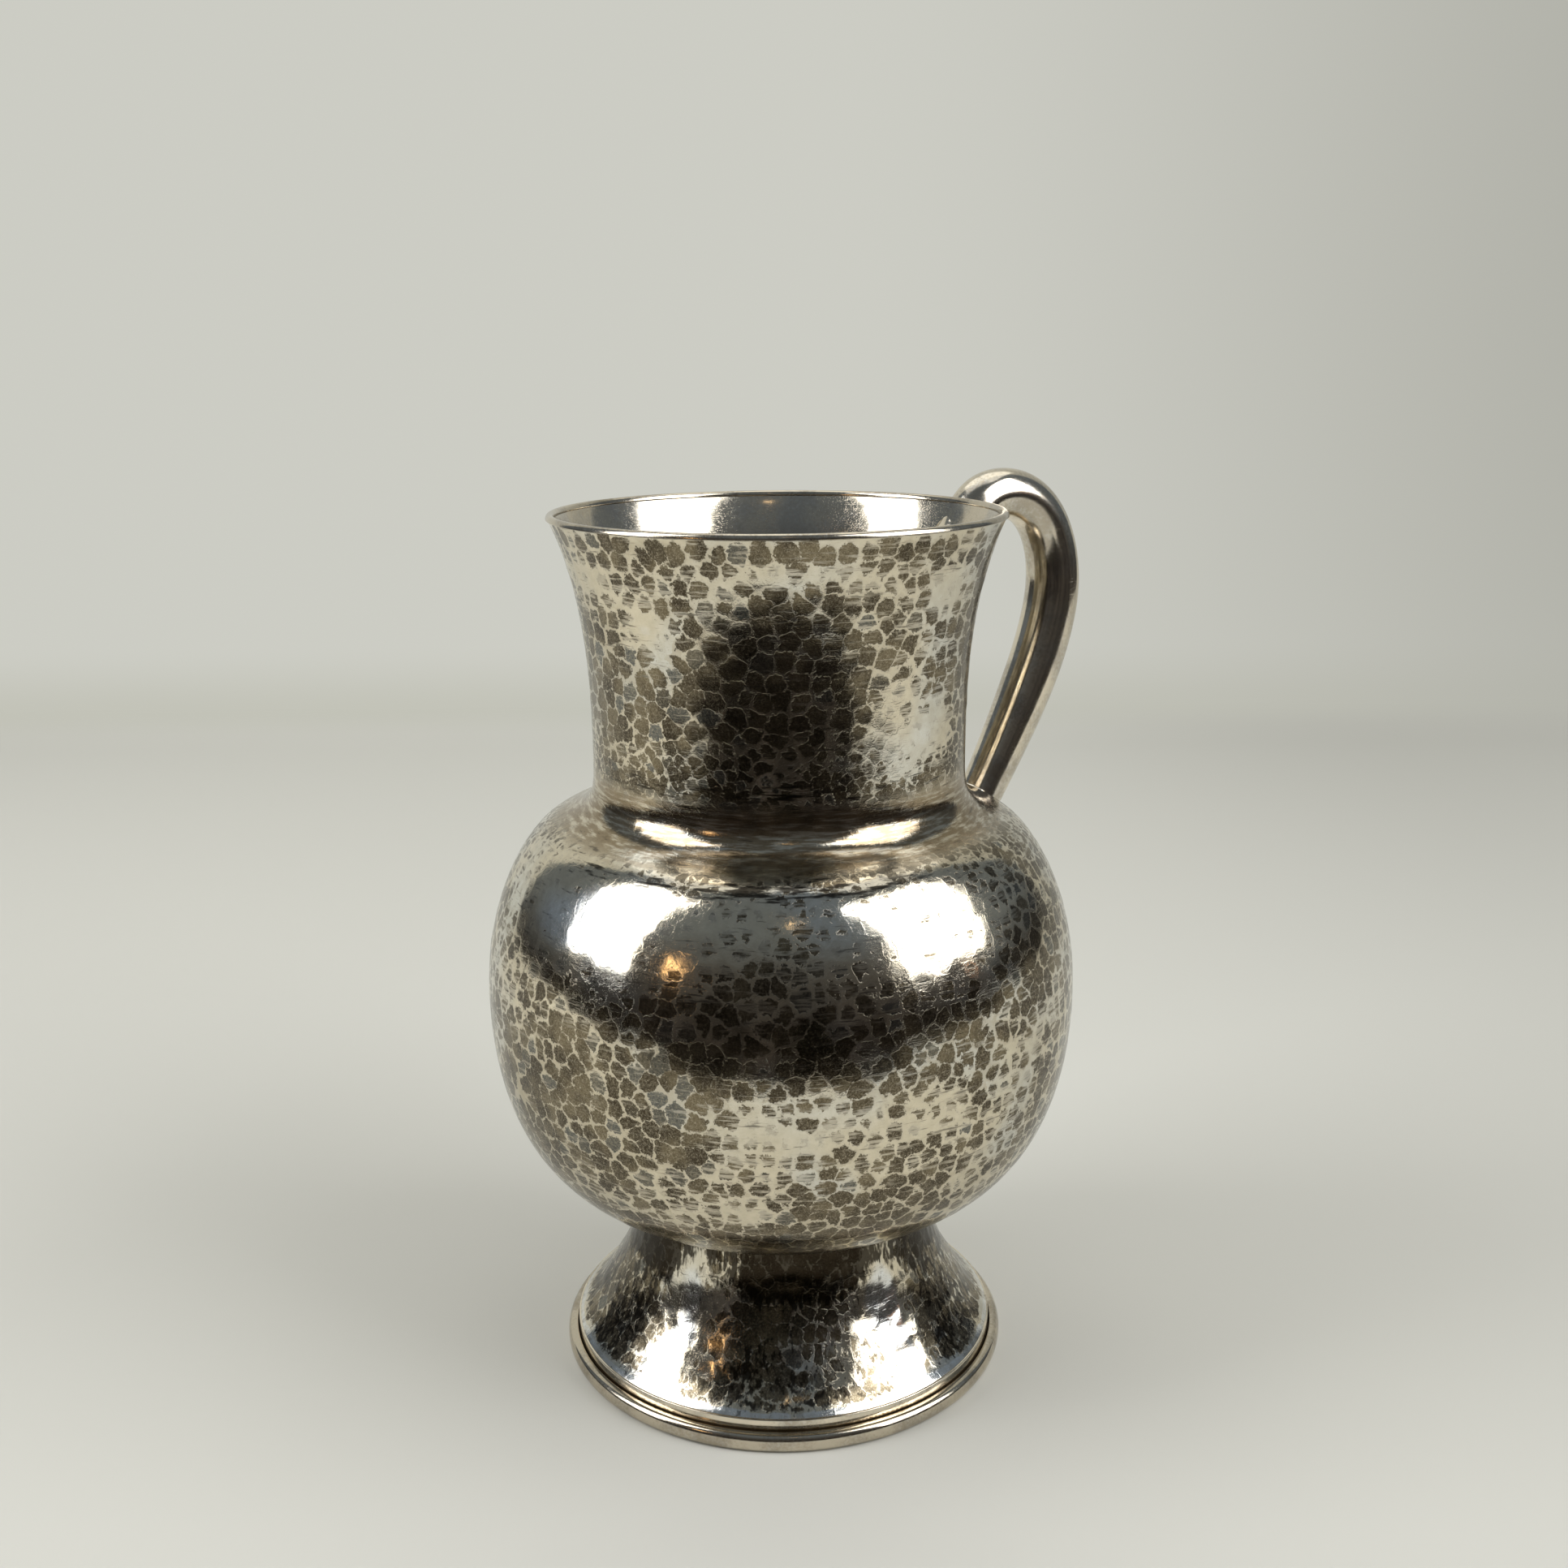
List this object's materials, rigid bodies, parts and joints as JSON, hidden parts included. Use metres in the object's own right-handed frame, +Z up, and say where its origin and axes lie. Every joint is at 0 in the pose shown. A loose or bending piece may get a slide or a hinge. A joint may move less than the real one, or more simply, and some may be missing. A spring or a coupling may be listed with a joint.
{
  "type": "water pitcher",
  "caption": "Hammered silver water pitcher: pear-shaped vessel with a flared open mouth, trumpet foot with a base wire, and a hollow loop handle.",
  "frame": {"origin": "centre of the footprint box, on the table plane under the base wire", "axes": "+Z up along the vessel's axis, +X towards the handle, +Y across the handle's plane"},
  "size_m": [0.1398, 0.1218, 0.1857],
  "materials": {
    "hammered_silver": "planished silver with a dark oxidised patina in the hammer marks",
    "polished_silver": "polished silver with fine scratches",
    "silver_solder": "polished silver solder"
  },
  "bodies": {
    "root": {"vessel_body": "hammered_silver", "rim_wire": "polished_silver", "foot_trumpet": "hammered_silver", "foot_band": "polished_silver", "base_wire": "polished_silver", "foot_solder": "silver_solder", "handle": "polished_silver", "handle_upper_solder": "silver_solder", "handle_lower_solder": "silver_solder"}
  },
  "joints": []
}
